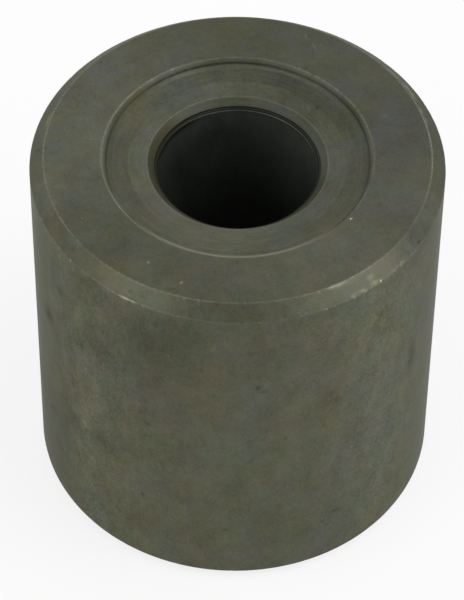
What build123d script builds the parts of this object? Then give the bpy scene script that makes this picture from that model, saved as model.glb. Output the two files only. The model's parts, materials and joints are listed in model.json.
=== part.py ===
from build123d import *
import math
import os

# Inner ring of a bearing: one thick-walled steel ring, turned from bar.
# Origin at the centre of the lower end face, +Z up along the bore. Millimetres and degrees.

# Outside: the ground running surface, with the same chamfer at both ends
outer_diameter = 52.0
ring_length = 54.0
outer_chamfer = 1.7

# Bore: the ground fit, a short wider lead-in above it, and a chamfer at each mouth
bore_diameter = 20.0
lead_in_step = 0.4
lead_in_length = 0.25
lead_in_edge_break = 0.15
bore_chamfer = 0.9

# Shallow recess in the upper end face: a sloped wall, a narrow flat ring at its foot,
# then a floor dished towards the bore in two slopes, the outer one steeper
recess_diameter = 34.0
recess_wall_run = 0.5
recess_wall_depth = 0.55
recess_lip_radius = 0.15
recess_foot_radius = 0.2
seat_ring_width = 0.9
dish_outer_width = 1.85
dish_outer_angle = 15.5
dish_inner_angle = 4.5

# Corners of the outer chamfers, rounded off in finishing and use
corner_radius = 0.12


def drop(run, angle):
    """Fall of a cone of that angle over a radial run."""
    return run * math.tan(math.radians(angle))


# Radii from the outside in
outer_radius = outer_diameter / 2
bore_radius = bore_diameter / 2
recess_radius = recess_diameter / 2
recess_foot = recess_radius - recess_wall_run
seat_ring_inner = recess_foot - seat_ring_width
lead_in_radius = bore_radius + lead_in_step
mouth_radius = lead_in_radius + bore_chamfer
dish_middle = seat_ring_inner - dish_outer_width

# Heights from the top down
seat_height = ring_length - recess_wall_depth
dish_middle_height = seat_height - drop(dish_outer_width, dish_outer_angle)
mouth_height = dish_middle_height - drop(dish_middle - mouth_radius, dish_inner_angle)
lead_in_top = mouth_height - bore_chamfer
lead_in_floor = lead_in_top - lead_in_length


def section():
    """Half section of the ring on the XZ plane, as a closed outline."""
    outline = [
        (bore_radius + bore_chamfer, 0),
        (outer_radius - outer_chamfer, 0),
        (outer_radius, outer_chamfer),
        (outer_radius, ring_length - outer_chamfer),
        (outer_radius - outer_chamfer, ring_length),
        (recess_radius, ring_length),
        (recess_foot, seat_height),
        (seat_ring_inner, seat_height),
        (dish_middle, dish_middle_height),
        (mouth_radius, mouth_height),
        (lead_in_radius, lead_in_top),
        (lead_in_radius, lead_in_floor),
        (bore_radius + lead_in_edge_break, lead_in_floor),
        (bore_radius, lead_in_floor - lead_in_edge_break),
        (bore_radius, bore_chamfer),
    ]
    return make_face(Plane.XZ * Polyline(*outline, close=True))


def rims(ring, radius, height):
    """Circular edges of the ring at that radius and height."""
    return [
        edge
        for edge in ring.edges().filter_by(GeomType.CIRCLE)
        if math.isclose(edge.radius, radius, abs_tol=1e-6)
        and math.isclose(edge.center().Z, height, abs_tol=1e-6)
    ]


def inner_ring():
    """The turned ring, with its lip, foot and outer corners rounded."""
    ring = revolve(section(), Axis.Z)
    corners = [
        rims(ring, outer_radius, outer_chamfer),
        rims(ring, outer_radius, ring_length - outer_chamfer),
        rims(ring, outer_radius - outer_chamfer, ring_length),
        rims(ring, outer_radius - outer_chamfer, 0),
    ]
    ring = fillet([edge for rim in corners for edge in rim], corner_radius)
    ring = fillet(rims(ring, recess_radius, ring_length), recess_lip_radius)
    return fillet(rims(ring, recess_foot, seat_height), recess_foot_radius)


os.makedirs("parts", exist_ok=True)
export_step(inner_ring(), "parts/inner_ring.step")
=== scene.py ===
import json
import math

import bpy
import numpy as np
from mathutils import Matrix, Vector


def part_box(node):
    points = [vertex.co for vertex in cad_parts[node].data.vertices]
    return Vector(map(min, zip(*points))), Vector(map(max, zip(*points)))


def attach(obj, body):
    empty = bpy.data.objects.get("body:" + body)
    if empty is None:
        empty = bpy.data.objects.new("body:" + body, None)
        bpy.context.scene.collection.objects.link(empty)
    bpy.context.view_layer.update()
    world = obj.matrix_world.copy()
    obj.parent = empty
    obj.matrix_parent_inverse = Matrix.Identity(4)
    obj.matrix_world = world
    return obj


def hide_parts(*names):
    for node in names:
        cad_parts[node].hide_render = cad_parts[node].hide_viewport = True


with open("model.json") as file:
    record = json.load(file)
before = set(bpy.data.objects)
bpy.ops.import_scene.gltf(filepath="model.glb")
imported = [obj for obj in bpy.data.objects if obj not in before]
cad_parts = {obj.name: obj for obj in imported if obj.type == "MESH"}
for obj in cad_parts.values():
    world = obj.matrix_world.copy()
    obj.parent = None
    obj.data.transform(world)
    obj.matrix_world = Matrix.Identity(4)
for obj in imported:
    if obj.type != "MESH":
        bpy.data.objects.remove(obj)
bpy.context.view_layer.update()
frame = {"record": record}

# The ring's form. One piece of bearing steel, turned from bar with a shallow recess in its upper
# face, hardened, and ground on its wall and bore. Its corners are worn round and its rims nicked.
MM = 0.001
mounts = {mount["name"]: mount for mount in frame["record"]["mounts"]}
wall_radius = mounts["running_surface"]["dims"]["r_mm"]
bore_radius = mounts["bore"]["dims"]["r_mm"]
ring_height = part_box("inner_ring")[1].z / MM
rim_chamfer = 1.7
recess_radius = 17.0
seat_depth = 0.55
seat_outer = recess_radius - 0.5
seat_inner = seat_outer - 0.9
dish_outer_width, dish_outer_angle = 1.85, math.radians(15.5)
dish_middle = seat_inner - dish_outer_width
dish_middle_depth = seat_depth + dish_outer_width * math.tan(dish_outer_angle)
lead_in_radius = bore_radius + 0.4
mouth_chamfer = 0.9
mouth_radius = lead_in_radius + mouth_chamfer
dish_inner_angle = math.radians(4.5)
mouth_depth = dish_middle_depth + (dish_middle - mouth_radius) * math.tan(dish_inner_angle)
lead_in_top = mouth_depth + mouth_chamfer
lead_in_depth = lead_in_top + 0.25
lead_in_edge = 0.15

# Each corner of the half section: radius, height, rounding, points round the arc, points on the
# side that follows. It runs up the outer wall, in over the upper face and down the bore.
rim_radius = wall_radius - rim_chamfer
section_corners = [
    (rim_radius, 0, 0.15, 4, 3),
    (wall_radius, rim_chamfer, 0.15, 4, 17),
    (wall_radius, ring_height - rim_chamfer, 0.16, 6, 7),
    (rim_radius, ring_height, 0.16, 6, 8),
    (recess_radius, ring_height, 0.2, 6, 2),
    (seat_outer, ring_height - seat_depth, 0.2, 5, 1),
    (seat_inner, ring_height - seat_depth, 0.3, 3, 2),
    (dish_middle, ring_height - dish_middle_depth, 0.6, 3, 3),
    (mouth_radius, ring_height - mouth_depth, 0.12, 6, 3),
    (lead_in_radius, ring_height - lead_in_top, 0.25, 4, 0),
    (lead_in_radius, ring_height - lead_in_depth, 0.04, 3, 0),
    (bore_radius + lead_in_edge, ring_height - lead_in_depth, 0.04, 3, 0),
    (bore_radius, ring_height - lead_in_depth - lead_in_edge, 0.06, 3, 4),
    (bore_radius, mouth_chamfer, 0.1, 3, 1),
    (bore_radius + mouth_chamfer, 0, 0.1, 3, 2),
]


def rounded_outline(corners):
    """Closed outline through the corners, as an array of (radius, height).

    Each corner is replaced by the arc that touches both of its sides: a quadratic curve between the
    two touching points, weighted at the corner by the cosine of half the turn, which is a true arc.
    A side is cut at the cosines of even angles, so its points crowd towards the arcs."""
    table = np.array(corners, float)
    corner, rounding = table[:, :2], table[:, 2]
    ahead = np.roll(corner, -1, 0) - corner
    ahead /= np.linalg.norm(ahead, axis=1, keepdims=True)
    behind = np.roll(ahead, 1, 0)
    half_turn = np.arccos(np.clip((ahead * behind).sum(1), -1, 1)) / 2
    reach = (rounding * np.tan(half_turn))[:, None]
    first, last = corner - behind * reach, corner + ahead * reach
    runs = []
    for i, (arc_points, side_points) in enumerate(table[:, 3:].astype(int)):
        t = np.linspace(0, 1, arc_points)[:, None]
        weights = (1 - t) ** 2, 2 * t * (1 - t) * math.cos(half_turn[i]), t ** 2
        curve = weights[0] * first[i] + weights[1] * corner[i] + weights[2] * last[i]
        runs.append(curve / sum(weights))
        s = (1 - np.cos(np.linspace(0, math.pi, side_points + 2)[1:-1, None])) / 2
        runs.append(last[i] + s * (first[(i + 1) % len(table)] - last[i]))
    return np.concatenate(runs)


outline = rounded_outline(section_corners)
tangent = np.roll(outline, -1, 0) - np.roll(outline, 1, 0)
outward = np.stack([tangent[:, 1], -tangent[:, 0]], 1)
outward /= np.linalg.norm(outward, axis=1, keepdims=True)
spokes = 860
angle = np.arange(spokes) * (2 * math.pi / spokes)

# Marks that handling left, each by its azimuth in degrees, radius and height, its half length along
# the rim, its half width across it, its depth and how bare it left the steel.
upper_rim = (rim_radius, ring_height)
lower_rim = (wall_radius, ring_height - rim_chamfer)
mid_chamfer = (wall_radius - rim_chamfer / 2, ring_height - rim_chamfer / 2)
marks = [
    (-105, *upper_rim, 0.28, 0.20, 0.04, 0.25),
    (-100.5, *upper_rim, 0.14, 0.32, 0.05, 0.30),
    (-87, *upper_rim, 0.14, 0.15, 0.04, 0.15),
    (-65.5, *upper_rim, 0.18, 0.24, 0.05, 0.35),
    (-61.5, *upper_rim, 0.5, 0.22, 0.03, 0.22),
    (-59.4, *upper_rim, 0.5, 0.30, 0.04, 0.30),
    (-58.0, *mid_chamfer, 0.5, 0.60, 0.01, 0.12),
    (-125, *lower_rim, 0.9, 0.09, 0.03, 0.4),
    (-121, *lower_rim, 1.0, 0.14, 0.05, 0.9),
    (-118.6, *lower_rim, 0.4, 0.12, 0.05, 0.8),
    (-113.5, *lower_rim, 0.35, 0.10, 0.03, 0.3),
    (-141, *lower_rim, 0.16, 0.13, 0.05, 0.7),
    (-158, *lower_rim, 0.15, 0.12, 0.05, 0.8),
    (-146, *lower_rim, 0.18, 0.10, 0.03, 0.3),
    (-72, *lower_rim, 0.16, 0.12, 0.04, 0.4),
    (-65, *lower_rim, 0.16, 0.16, 0.05, 0.6),
    (-62.5, *lower_rim, 0.14, 0.12, 0.04, 0.5),
    (-58.5, *lower_rim, 0.5, 0.12, 0.03, 0.3),
    (-56.3, *lower_rim, 0.25, 0.14, 0.04, 0.5),
    (-54.8, *lower_rim, 0.35, 0.12, 0.03, 0.4),
    (-52.8, *lower_rim, 0.3, 0.14, 0.04, 0.6),
    (-50.4, *mid_chamfer, 0.45, 0.60, 0.02, 0.22),
    (-49.3, 25.6, ring_height - 1.3, 0.30, 0.30, 0.03, 0.30),
    (-47.3, wall_radius - 0.1, ring_height - 1.6, 0.20, 0.20, 0.06, 0.9),
    (-41.5, *lower_rim, 0.6, 0.10, 0.02, 0.25),
    (-39.3, *lower_rim, 0.3, 0.12, 0.03, 0.4),
]


def mark_depths(outline, angle, marks):
    """Depth and bareness of the surface at every angle and outline point, as two grids.

    Each mark is a smooth hollow: its depth times the bell curve of the distance along the rim over
    the half length, and of the distance across the section over the half width."""
    depth = np.zeros((len(angle), len(outline)))
    bare = np.zeros_like(depth)
    for azimuth, radius, height, half_length, half_width, deep, shine in marks:
        turn = (angle - math.radians(azimuth) + math.pi) % (2 * math.pi) - math.pi
        across = np.hypot(outline[:, 0] - radius, outline[:, 1] - height)
        bell = np.exp(-((turn * radius / half_length) ** 2))[:, None]
        bell = bell * np.exp(-((across / half_width) ** 2))
        depth += deep * bell
        bare = np.maximum(bare, shine * bell)
    return depth, bare


# Smaller chips, scattered round four of the rims.
dice = np.random.default_rng(17)
chip_count = 150
chip_rims = np.array([
    upper_rim,
    lower_rim,
    (wall_radius, rim_chamfer),
    (recess_radius, ring_height),
])
chips = np.column_stack([
    dice.uniform(-180, 180, chip_count),
    chip_rims[dice.integers(0, len(chip_rims), chip_count)],
    dice.uniform(0.15, 0.5, chip_count),
    dice.uniform(0.08, 0.18, chip_count),
    dice.uniform(0.005, 0.03, chip_count),
    dice.uniform(0.0, 0.4, chip_count),
])
depth, bare = mark_depths(outline, angle, marks + chips.tolist())
radius_grid = outline[:, 0] - depth * outward[:, 0]
height_grid = outline[:, 1] - depth * outward[:, 1]
points = np.stack([
    radius_grid * np.cos(angle)[:, None],
    radius_grid * np.sin(angle)[:, None],
    height_grid,
], -1).reshape(-1, 3) * MM

rows = len(outline)
spoke, row = np.meshgrid(np.arange(spokes), np.arange(rows), indexing="ij")
next_spoke, next_row = (spoke + 1) % spokes, (row + 1) % rows
quads = np.stack([
    spoke * rows + row,
    next_spoke * rows + row,
    next_spoke * rows + next_row,
    spoke * rows + next_row,
], -1).reshape(-1, 4)

ring_mesh = bpy.data.meshes.new("ring")
ring_mesh.from_pydata(points.tolist(), [], quads.tolist())
ring_mesh.shade_smooth()
bare_attribute = ring_mesh.attributes.new("bare", "FLOAT", "POINT")
bare_attribute.data.foreach_set("value", bare.ravel())
ring = bpy.data.objects.new("ring", ring_mesh)
bpy.context.scene.collection.objects.link(ring)


# The ring's skin. Blackened steel: a thin dark olive-grey oxide, clouded with green, reddish and
# cool tints, rubbed towards bare steel along its edges, with dirt in the bore, painted shade in the
# corner at the foot of the recess, broad areas of painted light and shade, and a little rust.
class Wire:
    """A socket of a node tree. Arithmetic on it adds Math nodes, and node() adds any other node."""

    def __init__(self, tree, socket=None):
        self.tree, self.socket = tree, socket

    def node(self, kind, settings, inputs, output=0):
        """Adds a node of that kind, with its settings, then the values or wires of its inputs."""
        node = self.tree.nodes.new(kind)
        for name, value in settings.items():
            setattr(node, name, value)
        for name, value in inputs.items():
            if isinstance(value, Wire):
                self.tree.links.new(value.socket, node.inputs[name])
            else:
                node.inputs[name].default_value = value
        return Wire(self.tree, node.outputs[output]) if node.outputs else node

    def math(self, operation, *values):
        return self.node("ShaderNodeMath", {"operation": operation}, dict(enumerate(values)))

    def __add__(self, other):
        return self.math("ADD", self, other)

    def __radd__(self, other):
        return self.math("ADD", other, self)

    def __sub__(self, other):
        return self.math("SUBTRACT", self, other)

    def __rsub__(self, other):
        return self.math("SUBTRACT", other, self)

    def __mul__(self, other):
        return self.math("MULTIPLY", self, other)

    def __rmul__(self, other):
        return self.math("MULTIPLY", other, self)

    def __truediv__(self, other):
        return self.math("DIVIDE", self, other)

    def __pow__(self, other):
        return self.math("POWER", self, other)

    def combined(self, *parts):
        """A vector of those three values."""
        return self.node("ShaderNodeCombineXYZ", {}, dict(enumerate(parts)))

    def vector(self, operation, other, output=0):
        """A Vector Math node on this vector and another."""
        settings = {"operation": operation}
        return self.node("ShaderNodeVectorMath", settings, {0: self, 1: other}, output)

    def dot(self, other):
        return self.vector("DOT_PRODUCT", other, "Value")

    def length(self):
        return self.node("ShaderNodeVectorMath", {"operation": "LENGTH"}, {0: self}, "Value")

    def scaled(self, factor):
        """This vector or colour times that factor."""
        inputs = {0: self, "Scale": factor}
        return self.node("ShaderNodeVectorMath", {"operation": "SCALE"}, inputs)

    def times(self, colour):
        """That constant colour times this value."""
        inputs = {0: colour, "Scale": self}
        return self.node("ShaderNodeVectorMath", {"operation": "SCALE"}, inputs)

    def fade(self):
        """e to the power of minus this value: 1 at 0, and next to nothing beyond 3."""
        return self.math("POWER", math.exp(-1), self)

    def near(self, centre, sizes):
        """A bell curve round that centre, with a size along each axis."""
        scales = [1 / size for size in sizes]
        shifts = [-part / size for part, size in zip(centre, sizes)]
        inputs = {0: self, 1: scales, 2: shifts}
        offset = self.node("ShaderNodeVectorMath", {"operation": "MULTIPLY_ADD"}, inputs)
        return offset.dot(offset).fade()

    def step(self, start, end):
        """0 below start and 1 above end, with a smooth rise; it falls where start is above end."""
        at_low, at_high = (0.0, 1.0) if start < end else (1.0, 0.0)
        inputs = {0: self, 1: min(start, end), 2: max(start, end), 3: at_low, 4: at_high}
        return self.node("ShaderNodeMapRange", {"interpolation_type": "SMOOTHSTEP"}, inputs)

    def bell(self, width):
        """The bell curve of this distance: 1 at 0, and about a third at the width."""
        return self.math("POWER", math.exp(-1 / width ** 2), self * self)

    def blend(self, under, over):
        """The colour under where this is 0, and the colour over where it is 1."""
        colours = [c if isinstance(c, Wire) else (*c, 1) for c in (under, over)]
        settings = {"data_type": "RGBA"}
        return self.node("ShaderNodeMix", settings, {0: self, 6: colours[0], 7: colours[1]}, 2)

    def noise(self, size, detail, roughness, output=0):
        """Soft noise about 0.5, with features of about that size, read at this position."""
        inputs = {"Vector": self, "Scale": 1 / size, "Detail": detail, "Roughness": roughness}
        return self.node("ShaderNodeTexNoise", {}, inputs, output)

    def specks(self, spacing, radius):
        """1 at scattered points about that far apart, falling to 0 at the radius round each."""
        distance = self.node("ShaderNodeTexVoronoi", {}, {"Vector": self, "Scale": 1 / spacing})
        return distance.step(radius / spacing, 0.4 * radius / spacing)


def srgb(red, green, blue):
    """A colour as a screen shows it, from 0 to 255, as the linear values that a shader takes."""
    return tuple((((c / 255) + 0.055) / 1.055) ** 2.4 for c in (red, green, blue))


def patch(place, azimuth, radius, depth, size):
    """A bell curve round a point of the ring, of that size in every direction.

    The point is given by its azimuth in degrees, its radius and its depth below the top."""
    turn = math.radians(azimuth)
    centre = radius * math.cos(turn), radius * math.sin(turn), ring_height - depth
    return place.near(centre, (size, size, size))


def blot(skin, azimuth, radius, depth, along, across, lean):
    """A bell curve round a place on the skin, of those sizes along the rim and across it.

    It is the exponential of minus the sum of squares of the two distances, each over its size. The
    lean turns them, in degrees, from along the rim towards the outside and down."""
    squash = radius / wall_radius
    centre = math.radians(azimuth) * wall_radius, depth + radius - wall_radius, 0
    if not lean:
        return skin.near(centre, (along / squash, across, 1))
    turn = math.radians(lean)
    offset = skin.vector("SUBTRACT", centre)
    first = squash * math.cos(turn) / along, math.sin(turn) / along, 0
    second = -squash * math.sin(turn) / across, math.cos(turn) / across, 0
    first, second = offset.dot(first), offset.dot(second)
    return (first * first + second * second).fade()


oxide_green = srgb(83, 91, 75)
oxide_red = srgb(92, 87, 75)
oxide_bore = srgb(84, 90, 82)
bare_steel = srgb(176, 172, 158)
# The worn oxide colour is also the painted light on the sides of the recess wall.
worn_and_lit_oxide = srgb(128, 126, 112)
rubbed_steel = srgb(158, 155, 141)
# The dark colour is both the dirt in the bore and the painted shade at the foot of the recess wall.
dirt_and_shade = srgb(40, 40, 30)
rust = srgb(74, 60, 38)
old_grease = srgb(72, 69, 50)

steel = bpy.data.materials.new("blackened_steel")
steel.use_nodes = True
steel.node_tree.nodes.clear()
start = Wire(steel.node_tree)

# The place on the ring in millimetres, its radius, and its depth below the upper face.
place = start.node("ShaderNodeTexCoord", {}, {}, "Object").scaled(1 / MM)
x = place.node("ShaderNodeSeparateXYZ", {}, {0: place}, 0)
y = place.node("ShaderNodeSeparateXYZ", {}, {0: place}, 1)
z = place.node("ShaderNodeSeparateXYZ", {}, {0: place}, 2)
radius = (x * x + y * y) ** 0.5
below_top = ring_height - z


def from_circle(at_radius, at_depth):
    """The distance from the circle of that radius, at that depth below the top."""
    return ((radius - at_radius) ** 2 + (below_top - at_depth) ** 2) ** 0.5


# Clouds in the oxide: a light and dark mottle with a finer grain, and two independent tints. Each
# lies about 0, and is strong from a few millimetres down to a fraction.
drawn_out = place.vector("MULTIPLY", (1.0, 1.0, 0.65))
mottle = drawn_out.noise(4.0, detail=5.0, roughness=0.85) - 0.5
elsewhere = drawn_out.vector("ADD", (40.0, 15.0, 8.0))
red = elsewhere.noise(4.5, detail=5.0, roughness=0.8) - 0.5
elsewhere = drawn_out.vector("ADD", (-25.0, 60.0, 31.0))
blue = elsewhere.noise(5.0, detail=5.0, roughness=0.8) - 0.5
grain = place.noise(0.3, detail=2.0, roughness=0.6) - 0.5
to_back = y.step(-6.0, 10.0)
reddish = (red * (1.0 - to_back * 0.5)).step(-0.3, 0.3)
bluish = (blue * (1.0 + to_back * 0.6)).step(-0.3, 0.3)
warm_tint, cool_tint = (1.03, 1.0, 0.82), (0.97, 1.0, 1.20)
colour = reddish.blend(oxide_green, oxide_red)
colour = colour.vector("MULTIPLY", bluish.blend(warm_tint, cool_tint))

# Fine turning marks in the recess. The noise reads the radius and a circle that it goes round once,
# so the marks are rings that fade in and out along the way.
circle_radius = 1.2
ring_place = start.combined(radius, x / radius * circle_radius, y / radius * circle_radius)
in_recess = radius.step(seat_outer, seat_outer - 0.1) * below_top.step(0.4, 0.5)
rings = (ring_place.noise(0.35, detail=3.0, roughness=0.7) - 0.5) * in_recess
tone = 1.0 + mottle + grain * 0.5 + rings * 0.55

# Fine pits and bright specks, scattered all over.
pits = place.specks(spacing=3.0, radius=0.28)
bright_specks = place.vector("ADD", (7.0, 3.0, 5.0)).specks(spacing=3.3, radius=0.22)
colour = colour.scaled(tone * (1.0 - pits * 0.22) * (1.0 + bright_specks * 0.25))

# Broad areas painted lighter or darker, within each band of the surface between two radii: partly
# the oxide's own uneven tone, partly painted light and shade where the surface catches more or less
# light. Each is given by its azimuth, radius, depth below the top, size and change of red, green
# and blue.
tones_and_painted_light = [
    (recess_radius, wall_radius + 1, [
        (165, 21, 0, 12, (0.17, 0.17, 0.17)),
        (178, 21, 0, 6, (0.10, 0.10, 0.14)),
        (142, 21, 0, 5, (0.05, 0.05, 0.09)),
        (-56, 21, 0, 8, (0.13, 0.13, 0.14)),
        (-28, 21, 0, 11, (0.0, 0.0, 0.08)),
        (-120, 21, 0, 5, (-0.05, -0.06, -0.08)),
        (60, 21, 0, 15, (-0.10, -0.10, -0.10)),
        (12, 21, 0, 7, (-0.12, -0.11, -0.05)),
        (90, 21, 0, 6, (-0.06, -0.05, -0.08)),
        (28, 21, 0, 12, (0.01, 0.01, 0.08)),
        (158, 21, 0, 12, (0.01, 0.01, 0.07)),
        (-165, 25.2, 1, 3, (0.30, 0.30, 0.28)),
        (-137, 25.2, 1, 4, (-0.10, -0.10, -0.12)),
        (-118, 25.2, 1, 4.5, (0.24, 0.20, 0.16)),
        (-90, 25.2, 1, 4, (0.0, -0.03, -0.10)),
        (-60, 25.2, 1, 3, (-0.06, -0.07, -0.08)),
        (-30, 25.2, 1, 3, (-0.08, -0.08, -0.06)),
        (-12, 25.2, 1, 3, (0.16, 0.15, 0.12)),
        (-110, wall_radius, 8, 6, (-0.22, -0.21, -0.28)),
        (-122, wall_radius, 16, 9, (-0.07, -0.07, -0.07)),
        (-135, wall_radius, 10, 7, (-0.06, -0.06, -0.10)),
        (-141, wall_radius, 20, 2.2, (0.04, -0.01, 0.12)),
        (-134, wall_radius, 20.5, 2.2, (0.06, 0.0, 0.15)),
        (-101, wall_radius, 16, 5, (0.03, -0.03, -0.05)),
        (-115, wall_radius, 35, 20, (0.04, 0.02, -0.03)),
        (-80, wall_radius, 34, 5, (-0.05, 0.0, -0.05)),
        (-72, wall_radius, 12, 7, (0.04, -0.01, -0.02)),
        (-50, wall_radius, 10, 10, (0.08, 0.08, 0.06)),
        (-50, wall_radius, 30, 5, (0.02, -0.02, 0.07)),
        (-60, wall_radius, 49, 3, (0.02, -0.02, 0.08)),
        (-36, wall_radius, 25, 18, (0.10, 0.10, 0.11)),
        (-168, wall_radius, 42, 12, (-0.26, -0.25, -0.25)),
    ]),
    (seat_inner, seat_outer + 0.1, [
        (120, 16, 0.6, 3.4, (0.40, 0.38, 0.32)),
        (150, 16, 0.6, 2.5, (0.10, 0.10, 0.06)),
        (180, 16, 0.6, 5, (-0.12, -0.12, -0.14)),
        (0, 16, 0.6, 5, (-0.20, -0.19, -0.14)),
        (30, 16, 0.6, 4, (-0.15, -0.14, -0.10)),
        (-30, 16, 0.6, 5, (-0.13, -0.12, -0.08)),
    ]),
    (dish_middle, seat_inner, [
        (180, 14.7, 1, 7, (-0.10, -0.17, -0.12)),
        (147, 14.7, 1, 4, (0.09, 0.05, 0.12)),
        (-150, 14.7, 1, 4, (-0.06, -0.06, -0.07)),
        (-108, 14.7, 1, 4, (0.06, 0.05, 0.06)),
        (5, 14.7, 1, 5, (0.13, 0.13, 0.20)),
        (70, 14.7, 1, 8, (-0.12, -0.11, -0.09)),
        (-92, 14.7, 1, 7, (0.07, 0.06, 0.09)),
        (160, 14.7, 1, 3, (0.16, 0.14, 0.10)),
    ]),
    (mouth_radius, dish_middle, [
        (-160, 12.5, 1.2, 8, (0.10, 0.10, 0.10)),
        (-100, 12.5, 1.2, 5, (0.12, 0.10, 0.14)),
        (120, 12.5, 1.2, 16, (0.05, 0.06, 0.11)),
        (-35, 12.5, 1.2, 5, (-0.08, -0.06, 0.03)),
        (0, 12.5, 1.2, 4, (0.03, 0.04, 0.12)),
        (50, 12.5, 1.2, 6, (-0.13, -0.12, -0.10)),
        (105, 12.5, 1.2, 5, (0.05, 0.05, 0.05)),
        (150, 12.5, 1.2, 4, (0.08, 0.10, 0.14)),
    ]),
    (lead_in_radius, mouth_radius, [
        (0, 10.8, 1.7, 4.5, (0.42, 0.45, 0.50)),
        (125, 10.8, 1.7, 3, (0.14, 0.16, 0.20)),
        (60, 10.8, 1.7, 6, (0.08, 0.10, 0.18)),
        (165, 10.8, 1.7, 5, (-0.14, -0.12, -0.18)),
    ]),
]

# Noise makes the outline of an area ragged, by up to a few millimetres and less in a narrow band.
middle_grey = (0.5, 0.5, 0.5)
wobble = place.noise(3.0, 3.0, 0.6, "Color").vector("SUBTRACT", middle_grey)
widest_wobble = 9.0
band_edge = 0.06
for inner, outer, patches in tones_and_painted_light:
    band = radius.step(inner - band_edge, inner + band_edge)
    band = band * radius.step(outer + band_edge, outer - band_edge)
    ragged = place.vector("ADD", wobble.scaled(min(widest_wobble, 3 * (outer - inner))))
    change = start.combined(0.0, 0.0, 0.0)
    for azimuth, at_radius, at_depth, size, shift in patches:
        amount = patch(ragged, azimuth, at_radius, at_depth, size)
        change = change.vector("ADD", amount.times(shift))
    colour = colour.vector("MULTIPLY", change.scaled(band).vector("ADD", (1.0, 1.0, 1.0)))

# Painted light on the wall: lighter to the left and right of its front and back, and painted shade,
# a little darker elsewhere. Its clouds are stronger where it is lighter, and towards the left.
on_wall = radius.step(wall_radius - 0.1, wall_radius - 0.04)
painted_side_light = (y.math("ABSOLUTE", y) / radius - 0.62).bell(0.3)
to_left = x.step(5.0, -20.0)
clouds = mottle * (0.7 + to_left * 0.5) + grain * 0.9
colour = colour.scaled(1.0 + on_wall * (painted_side_light * (0.33 + clouds) - 0.12))

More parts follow.
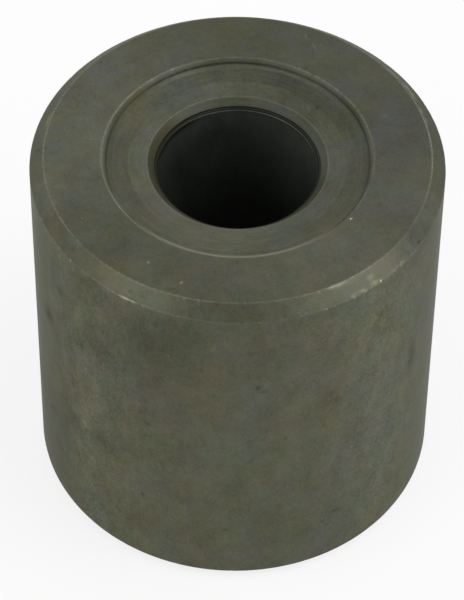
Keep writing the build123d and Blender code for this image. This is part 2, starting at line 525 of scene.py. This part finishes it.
# Stains and scuffs, each by its azimuth, radius, depth, sizes along the rim and across it, lean and
# change of red, green and blue. They are placed on the skin laid flat: the first coordinate is the
# distance round the wall, the second grows outward over the end face and down the wall. Those on
# the wall leave out the radius, and show more strongly by one factor.
stains = [
    (-120.5, 20.9, 0, 0.13, 0.20, -20, (1.5, 1.5, 1.4)),
    (-122.8, 20.6, 0, 0.22, 0.35, -40, (-0.16, -0.14, -0.16)),
    (-107.4, 22.2, 0, 0.13, 0.17, 0, (1.6, 1.5, 1.5)),
    (-108.5, 22.75, 0, 0.06, 0.45, 30, (0.25, 0.22, 0.22)),
    (-109.8, 23.55, 0, 0.55, 0.12, -30, (-0.22, -0.20, -0.22)),
    (-102.3, 21.6, 0, 0.10, 0.16, 0, (0.35, 0.32, 0.32)),
    (-79.0, 20.0, 0, 0.09, 0.55, 0, (0.20, 0.20, 0.18)),
    (-36.6, 17.5, 0, 0.13, 0.11, 0, (4.5, 4.8, 4.7)),
    (-103.0, 18.9, 0, 0.9, 0.5, 0, (0.08, -0.06, -0.06)),
    (-107.5, 21.9, 0, 0.9, 0.9, 0, (0.06, -0.04, -0.02)),
    (-147.0, 18.8, 0, 2.2, 1.0, 0, (0.03, -0.02, 0.06)),
    (-142.5, 19.9, 0, 0.3, 0.35, 0, (-0.14, -0.14, -0.14)),
    (-154.7, 21.8, 0, 0.25, 0.3, 0, (-0.12, -0.16, -0.14)),
    (-165.2, 22.9, 0, 0.28, 0.9, 0, (0.14, 0.14, 0.14)),
    (-65.0, 21.1, 0, 0.25, 0.25, 0, (-0.12, -0.14, -0.12)),
    (-22.0, 19.1, 0, 0.2, 0.2, 0, (0.20, 0.14, 0.14)),
    (-61.3, 24.4, 0.1, 0.75, 0.24, 0, (0.95, 0.88, 1.00)),
    (-58.6, 24.45, 0.15, 0.5, 0.30, 0, (0.80, 0.74, 0.84)),
    (-56.0, 24.6, 0.3, 1.2, 0.5, 0, (0.14, 0.12, 0.09)),
    (-49.3, 25.1, 0.8, 0.42, 0.5, 0, (0.58, 0.54, 0.60)),
    (-49.6, 25.75, 1.45, 0.35, 0.45, 0, (0.42, 0.38, 0.46)),
    (-48.2, 25.75, 1.45, 0.5, 0.2, 0, (0.36, 0.34, 0.44)),
    (-55.4, 25.75, 1.45, 0.8, 0.34, 0, (0.40, 0.36, 0.46)),
    (-53.2, 25.8, 1.5, 0.45, 0.24, 0, (0.80, 0.74, 0.84)),
    (-56.6, 25.85, 1.55, 0.3, 0.24, 0, (0.55, 0.50, 0.58)),
    (-41.2, 25.85, 1.55, 0.9, 0.2, 0, (0.50, 0.44, 0.46)),
    (-38.6, 25.8, 1.5, 0.45, 0.3, 0, (0.75, 0.68, 0.66)),
    (-35.5, 25.95, 1.7, 1.3, 0.18, 0, (0.28, 0.22, 0.25)),
    (-31.5, 25.98, 1.9, 0.8, 0.2, 0, (0.16, 0.13, 0.16)),
    (-30.9, 24.85, 0.55, 0.20, 0.24, 0, (-0.55, -0.55, -0.55)),
    (-29.8, 25.7, 1.4, 0.35, 0.22, 0, (-0.55, -0.55, -0.55)),
    (-31.8, 25.3, 1.0, 0.25, 0.8, 0, (-0.15, -0.15, -0.15)),
    (-120.1, 25.25, 0.95, 0.2, 0.26, 0, (-0.40, -0.40, -0.40)),
    (-116.5, 25.3, 1.0, 0.3, 0.2, 0, (-0.25, -0.25, -0.25)),
    (-104.9, 24.4, 0.1, 0.2, 0.3, 0, (0.40, 0.36, 0.34)),
    (-100.7, 24.45, 0.15, 0.12, 0.5, 0, (0.60, 0.56, 0.52)),
    (178.0, 25.0, 0.7, 0.3, 0.4, 0, (-0.35, -0.35, -0.35)),
    (-142.0, 25.1, 0.8, 0.5, 0.5, 0, (-0.12, -0.20, -0.16)),
    (43.2, 13.5, 1.1, 0.2, 0.25, 0, (-0.38, -0.40, -0.38)),
    (46.0, 12.8, 1.1, 0.5, 0.16, 29, (0.42, 0.40, 0.42)),
    (49.5, 12.6, 1.1, 0.4, 0.14, 29, (0.38, 0.36, 0.38)),
    (63.4, 21.4, 0, 0.7, 0.14, 43, (0.42, 0.40, 0.42)),
    (67.5, 22.5, 0, 0.5, 0.13, 43, (0.38, 0.36, 0.38)),
    (44.6, 19.9, 0, 0.7, 0.25, 0, (0.16, 0.15, 0.17)),
    (21.0, 19.8, 0, 0.3, 0.3, 0, (0.26, 0.24, 0.26)),
    (136.6, 19.3, 0, 0.25, 0.25, 0, (-0.16, -0.16, -0.16)),
    (172.7, 18.4, 0, 0.25, 0.8, 0, (0.18, 0.16, 0.14)),
    (166.5, 24.6, 0.3, 1.2, 0.35, 0, (0.70, 0.66, 0.74)),
    (37.0, 24.8, 0.5, 1.4, 0.4, 0, (1.1, 1.0, 1.2)),
    (30.5, 24.8, 0.5, 0.8, 0.5, 0, (1.9, 1.8, 2.1)),
    (26.5, 24.7, 0.4, 0.7, 0.45, 0, (1.6, 1.5, 1.7)),
    (19.5, 24.5, 0.2, 0.6, 0.35, 0, (1.3, 1.2, 1.4)),
    (15.0, 24.5, 0.2, 0.5, 0.3, 0, (0.9, 0.8, 1.0)),
]
wall_stains = [
    (-138.5, 16.5, 1.3, 0.8, -35, (-0.22, -0.20, -0.26)),
    (-155.5, 18.5, 1.6, 1.2, -45, (-0.42, -0.44, -0.50)),
    (-147.0, 10.0, 0.8, 0.6, 0, (-0.24, -0.26, -0.26)),
    (-155.0, 37.5, 1.2, 0.8, -40, (-0.26, -0.26, -0.30)),
    (-142.0, 33.0, 1.4, 0.9, -40, (-0.14, -0.14, -0.16)),
    (-114.5, 24.4, 0.5, 0.32, 0, (-0.30, -0.30, -0.32)),
    (-114.2, 23.0, 0.35, 0.7, 0, (0.10, 0.10, 0.08)),
    (-116.5, 39.5, 0.3, 0.35, 0, (-0.28, -0.26, -0.28)),
    (-131.5, 32.8, 0.5, 0.6, 0, (-0.16, -0.22, -0.24)),
    (-136.5, 33.3, 0.4, 0.3, 0, (-0.24, -0.24, -0.24)),
    (-137.8, 32.0, 0.6, 0.4, -30, (0.28, 0.26, 0.26)),
    (-110.3, 31.8, 1.6, 0.3, 70, (-0.12, -0.10, -0.08)),
    (-98.8, 11.3, 0.25, 0.35, 0, (-0.22, -0.22, -0.20)),
    (-95.7, 6.6, 0.25, 0.7, 10, (0.22, 0.20, 0.16)),
    (-129.5, 8.0, 0.5, 0.5, 0, (0.16, 0.06, 0.04)),
    (-83.6, 14.2, 0.42, 0.45, 0, (-0.34, -0.34, -0.34)),
    (-82.0, 15.1, 0.35, 0.25, 0, (-0.24, -0.24, -0.24)),
    (-62.5, 18.5, 0.5, 0.5, 0, (-0.18, -0.20, -0.22)),
    (-60.3, 20.3, 0.6, 0.7, 0, (-0.16, -0.18, -0.18)),
    (-75.7, 24.9, 0.22, 0.4, 0, (-0.28, -0.26, -0.26)),
    (-92.0, 43.3, 0.45, 0.28, 0, (-0.26, -0.28, -0.28)),
    (-59.3, 43.6, 1.0, 0.3, 8, (-0.22, -0.22, -0.26)),
    (-46.5, 8.0, 0.4, 0.6, 0, (-0.22, -0.22, -0.20)),
    (-48.8, 7.6, 1.2, 0.16, 54, (0.16, 0.16, 0.12)),
    (-50.8, 13.5, 0.25, 1.2, 10, (-0.12, -0.12, -0.12)),
    (-30.5, 22.5, 0.8, 3.0, 0, (-0.26, -0.30, -0.28)),
    (-86.0, 35.0, 0.25, 3.0, 0, (0.07, -0.03, -0.04)),
    (-80.0, 43.6, 0.4, 0.35, 0, (0.16, 0.16, 0.12)),
    (-80.0, 28.0, 0.8, 0.5, 0, (0.10, 0.09, 0.10)),
    (-73.2, 32.4, 1.3, 0.25, 60, (0.14, 0.12, 0.10)),
    (-64.0, 4.4, 1.2, 0.22, 0, (0.14, 0.13, 0.12)),
    (-62.0, 6.7, 0.9, 0.14, 25, (0.12, 0.12, 0.10)),
    (-72.5, 40.0, 1.4, 0.18, 20, (0.12, 0.11, 0.10)),
    (-56.0, 22.4, 0.4, 0.4, 0, (-0.16, -0.16, -0.16)),
]
wall_strength = 1.3
fray = place.noise(0.8, 2.0, 0.6, "Color").vector("SUBTRACT", middle_grey).scaled(0.8)
round_wall = y.math("ARCTAN2", y, x) * wall_radius
skin = start.combined(round_wall, below_top + radius - wall_radius, 0.0).vector("ADD", fray)
change = start.combined(1.0, 1.0, 1.0)
for azimuth, at_radius, at_depth, along, across, lean, shift in stains:
    amount = blot(skin, azimuth, at_radius, at_depth, along, across, lean)
    change = change.vector("ADD", amount.times(shift))
for azimuth, at_depth, along, across, lean, shift in wall_stains:
    amount = blot(skin, azimuth, wall_radius, at_depth, along, across, lean)
    change = change.vector("ADD", amount.times([wall_strength * part for part in shift]))
colour = colour.vector("MULTIPLY", change)

# The bore: a cooler skin with painted light on its far right side below the step, a duller
# chamfer, and the step under that chamfer darkened.
in_bore = below_top.step(lead_in_top - 0.1, lead_in_top + 0.1)
in_bore = in_bore * radius.step(bore_radius + 1.2, bore_radius + 0.9)
lit_side = patch(place, 38, bore_radius, depth=6, size=7) * below_top.step(2.4, 3.2)
bore_tone = 1.0 + lit_side * 0.65 + mottle * 1.2
colour = in_bore.blend(colour, bore_tone.times(oxide_bore))
on_chamfer = below_top.step(mouth_depth - 0.02, mouth_depth + 0.1)
on_chamfer = on_chamfer * radius.step(mouth_radius + 0.1, mouth_radius - 0.05) * (1.0 - in_bore)
colour = colour.scaled(1.0 - on_chamfer * 0.14)
on_step = in_bore * radius.step(bore_radius + 0.02, bore_radius + 0.1)
in_step = in_bore * radius.step(bore_radius + 0.2, bore_radius + 0.3)
colour = colour.scaled(1.0 - on_step * 0.86 + in_step * 0.32)

# The wall of the recess: rubbed bright at the near side, a little farther down its slope in front,
# painted light at the left and right, lightened towards the worn oxide colour, and painted shade at
# the far side, where it is darker.
on_recess_wall = radius.step(seat_outer, seat_outer + 0.1)
on_recess_wall = on_recess_wall * radius.step(recess_radius + 0.02, recess_radius - 0.1)
lowered = radius + y.step(-10.0, -15.0) * 0.25
rubbed_wall = lowered.step(seat_outer - 0.15, recess_radius - 0.05)
rubbed_wall = rubbed_wall * radius.step(recess_radius + 0.06, recess_radius)
rubbed_wall = rubbed_wall * (1.0 - patch(place, -34, recess_radius, depth=0, size=5) * 0.4)
near_side = y.step(-3.0, -8.0)
painted_light_sides = (1.0 - near_side) * y.step(10.0, 0.0)
painted_shade_far = y.step(-2.0, 9.0)
back = patch(place, 92, seat_outer, depth=0, size=7)
colour = (rubbed_wall * near_side * 0.9).blend(colour, rubbed_steel)
colour = (on_recess_wall * painted_light_sides * 0.7).blend(colour, worn_and_lit_oxide)
colour = colour.scaled(1.0 - on_recess_wall * painted_shade_far * (0.22 - back * 0.15))

# Painted shade along the foot of that wall: a dark line in the crease, fading out towards the near
# side, with the azimuths where there is more or less of it.
foot_shade = 0.62 + back * 0.3
for azimuth, shift in ((122, 0.3), (2, -0.25)):
    foot_shade = foot_shade + patch(place, azimuth, seat_outer, depth=0, size=5) * shift
shade_breaks = place.noise(1.5, detail=3.0, roughness=0.7).step(0.3, 0.6)
foot_shade = foot_shade * (0.75 + shade_breaks * 0.25)
foot = from_circle(seat_outer, seat_depth).bell(0.22) * y.step(-9.0, -1.0)
colour = (foot * foot_shade).blend(colour, dirt_and_shade)

# Rust at the foot of the recess wall and at the left of the bore's mouth, each spot by its azimuth,
# radius, depth, size and strength.
rust_spots = [
    (140, seat_outer, 0.55, 0.6, 0.5),
    (146, 10.8, 1.9, 1.0, 0.4),
    (165, 10.6, 2.1, 1.0, 0.25),
    (160, 10.0, 3.2, 1.3, 0.3),
]
broken_up = mottle.step(-0.15, 0.1)
for azimuth, at_radius, at_depth, size, strength in rust_spots:
    amount = patch(place, azimuth, at_radius, at_depth, size)
    colour = (amount * broken_up * strength).blend(colour, rust)

# Dirt caked inside the bore at the left, and a crust of old grease on the chamfer above it.
caked = in_bore * x.step(-3.0, -7.0) * below_top.step(3.6, 2.8)
colour = (caked * 0.85).blend(colour, dirt_and_shade)
crust = on_chamfer * x.step(-7.4, -9.2) * below_top.step(mouth_depth + 0.1, lead_in_top - 0.2)
flakes = place.noise(0.8, detail=3.0, roughness=0.7).step(0.4, 0.6)
crust = crust * (0.45 + flakes * 0.55)
colour = (crust * 0.9).blend(colour, old_grease)

# Wear along the edges, each by its radius, its depth below the top, its width and its strength, and
# the stretches where it is weaker or stronger, by their azimuth, radius, depth, size and change.
edges = [
    (rim_radius - 0.04, 0.0, 0.12, 0.80),
    (wall_radius, rim_chamfer, 0.12, 0.34),
    (recess_radius - 0.03, 0.03, 0.15, 0.65),
    (mouth_radius, mouth_depth, 0.14, 0.30),
    (wall_radius, ring_height - rim_chamfer, 0.13, 0.3),
    (rim_radius, ring_height, 0.16, 0.4),
]
stretches = [
    (-88, rim_radius, 0, 8, -0.6),
    (-35, rim_radius, 0, 10, -0.75),
    (-65, rim_radius, 0, 5, -0.3),
    (5, rim_radius, 0, 5, 0.4),
    (168, rim_radius, 0, 7, 0.35),
    (-140, rim_radius, 0, 5, -0.25),
    (-34, recess_radius, 0, 4.5, -1.1),
    (60, recess_radius, 0, 6, -0.5),
    (90, recess_radius, 0, 6, -0.5),
    (125, recess_radius, 0, 7, -0.7),
    (170, recess_radius, 0, 5, 0.4),
    (0, mouth_radius, mouth_depth, 4, 0.6),
    (-140, wall_radius, rim_chamfer, 4, -0.5),
]
long_breaks = place.noise(6.0, detail=2.0, roughness=0.5).step(0.3, 0.65)
short_breaks = place.noise(0.45, detail=2.0, roughness=0.6).step(0.35, 0.65)
rubbed = 0.35 + long_breaks * 0.25 + short_breaks * 0.8
share = 1.0
for azimuth, at_radius, at_depth, size, shift in stretches:
    share = share + patch(place, azimuth, at_radius, at_depth, size) * shift
wear = 0.0
for at_radius, at_depth, width, strength in edges:
    wear = wear + from_circle(at_radius, at_depth).bell(width) * strength
wear = wear * rubbed * share.math("MAXIMUM", share, 0.0)
colour = wear.blend(colour, worn_and_lit_oxide)

# Bare steel where a mark went through the oxide, then the surface's own unevenness and gloss.
marked = start.node("ShaderNodeAttribute", {"attribute_name": "bare"}, {}, "Fac")
colour = marked.step(0.05, 1.0).blend(colour, bare_steel)
waves = place.noise(3.0, detail=2.0, roughness=0.5) - 0.5
relief = grain * 0.012 + mottle * 0.05 + waves * 0.06 + rings * 0.008
bump = start.node("ShaderNodeBump", {}, {"Strength": 1.0, "Distance": MM, "Height": relief})
roughness = 0.42 + mottle * 0.3 + grain * 0.2 + on_chamfer * 0.2
surface = start.node("ShaderNodeBsdfPrincipled", {}, {
    "Base Color": colour,
    "Metallic": 0.75,
    "Roughness": roughness,
    "Specular Tint": (0.46, 0.46, 0.41, 1.0),
    "Normal": bump,
})
start.node("ShaderNodeOutputMaterial", {}, {"Surface": surface})
ring_mesh.materials.append(steel)
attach(ring, "root")
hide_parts("inner_ring")

# The floor. A wide sheet of matt white card that the ring stands on. The camera and reflections see
# it mostly as plain white, so that only a soft trace of the ring's shadow is left, except under the
# bore, where the card stays as dark as the little light that reaches it.
floor_half = 4.0
shown_white = 0.8
corner_sides = [(-1, -1), (1, -1), (1, 1), (-1, 1)]
floor_corners = [(floor_half * x_side, floor_half * y_side, 0) for x_side, y_side in corner_sides]
floor_mesh = bpy.data.meshes.new("floor")
floor_mesh.from_pydata(floor_corners, [], [(0, 1, 2, 3)])
floor = bpy.data.objects.new("floor", floor_mesh)
bpy.context.scene.collection.objects.link(floor)
card = bpy.data.materials.new("card")
card.use_nodes = True
card.node_tree.nodes.clear()
start = Wire(card.node_tree)
matt = start.node("ShaderNodeBsdfDiffuse", {}, {"Color": (0.95, 0.95, 0.95, 1.0)})
white = start.node("ShaderNodeEmission", {}, {"Color": (1, 1, 1, 1), "Strength": 1.0})
seen = sum(start.node("ShaderNodeLightPath", {}, {}, name)
           for name in ("Is Camera Ray", "Is Glossy Ray", "Is Transmission Ray"))
away = start.node("ShaderNodeTexCoord", {}, {}, "Object").length()
lifted = seen * away.step(bore_radius * MM, wall_radius * MM) * shown_white
both = start.node("ShaderNodeMixShader", {}, {0: lifted, 1: matt, 2: white})
start.node("ShaderNodeOutputMaterial", {}, {"Surface": both})
floor_mesh.materials.append(card)

# The light. A pale room, white low down and dimmer overhead, with three large soft boxes, each by
# its azimuth and elevation in degrees and its strength: to the right, to the left and behind.
soft_boxes = [(-16, 47, 3.0), (-153, 41, 1.9), (82, 37, 0.93)]
box_width = math.radians(24)
overhead, low_down = 0.3, 1.0
world = bpy.data.worlds.new("room")
bpy.context.scene.world = world
world.use_nodes = True
world.node_tree.nodes.clear()
start = Wire(world.node_tree)
direction = start.node("ShaderNodeTexCoord", {}, {}, "Generated")
up = direction.node("ShaderNodeSeparateXYZ", {}, {0: direction}, 2)
up = up.math("MAXIMUM", up, 0.0)
level = overhead + (1.0 - up) ** 3 * (low_down - overhead)
for azimuth, elevation, strength in soft_boxes:
    turn, rise = math.radians(azimuth), math.radians(elevation)
    towards = (math.cos(rise) * math.cos(turn), math.cos(rise) * math.sin(turn), math.sin(rise))
    cosine = direction.dot(towards)
    level = level + cosine.math("ARCCOSINE", cosine).bell(box_width) * strength
camera_ray = start.node("ShaderNodeLightPath", {}, {}, "Is Camera Ray")
level = level + camera_ray * (1.0 - level)
room = start.node("ShaderNodeBackground", {}, {"Color": (1, 1, 1, 1), "Strength": level})
start.node("ShaderNodeOutputWorld", {}, {"Surface": room})

# The camera. A long lens, looking down from in front at a point of the ring's axis, rolled a little
# and shifted by so many pixels of the image that the ring stands where it does in the photo.
camera_elevation = math.radians(49.45)
camera_distance = 0.4381
camera_aim = 0.02796
camera_roll = math.radians(0.806)
image_long_side = 600
axis_right_of_middle = 3.85
axis_above_middle = 9.46
focal_length = 201.5
lens = bpy.data.cameras.new("camera")
lens.lens = focal_length
lens.shift_x = -axis_right_of_middle / image_long_side
lens.shift_y = -axis_above_middle / image_long_side
camera = bpy.data.objects.new("camera", lens)
camera.location = (
    0,
    -camera_distance * math.cos(camera_elevation),
    camera_aim + camera_distance * math.sin(camera_elevation),
)
camera.rotation_mode = "ZYX"
camera.rotation_euler = (math.pi / 2 - camera_elevation, 0, camera_roll)
bpy.context.scene.collection.objects.link(camera)
bpy.context.scene.camera = camera

bpy.context.scene.view_settings.view_transform = "Standard"
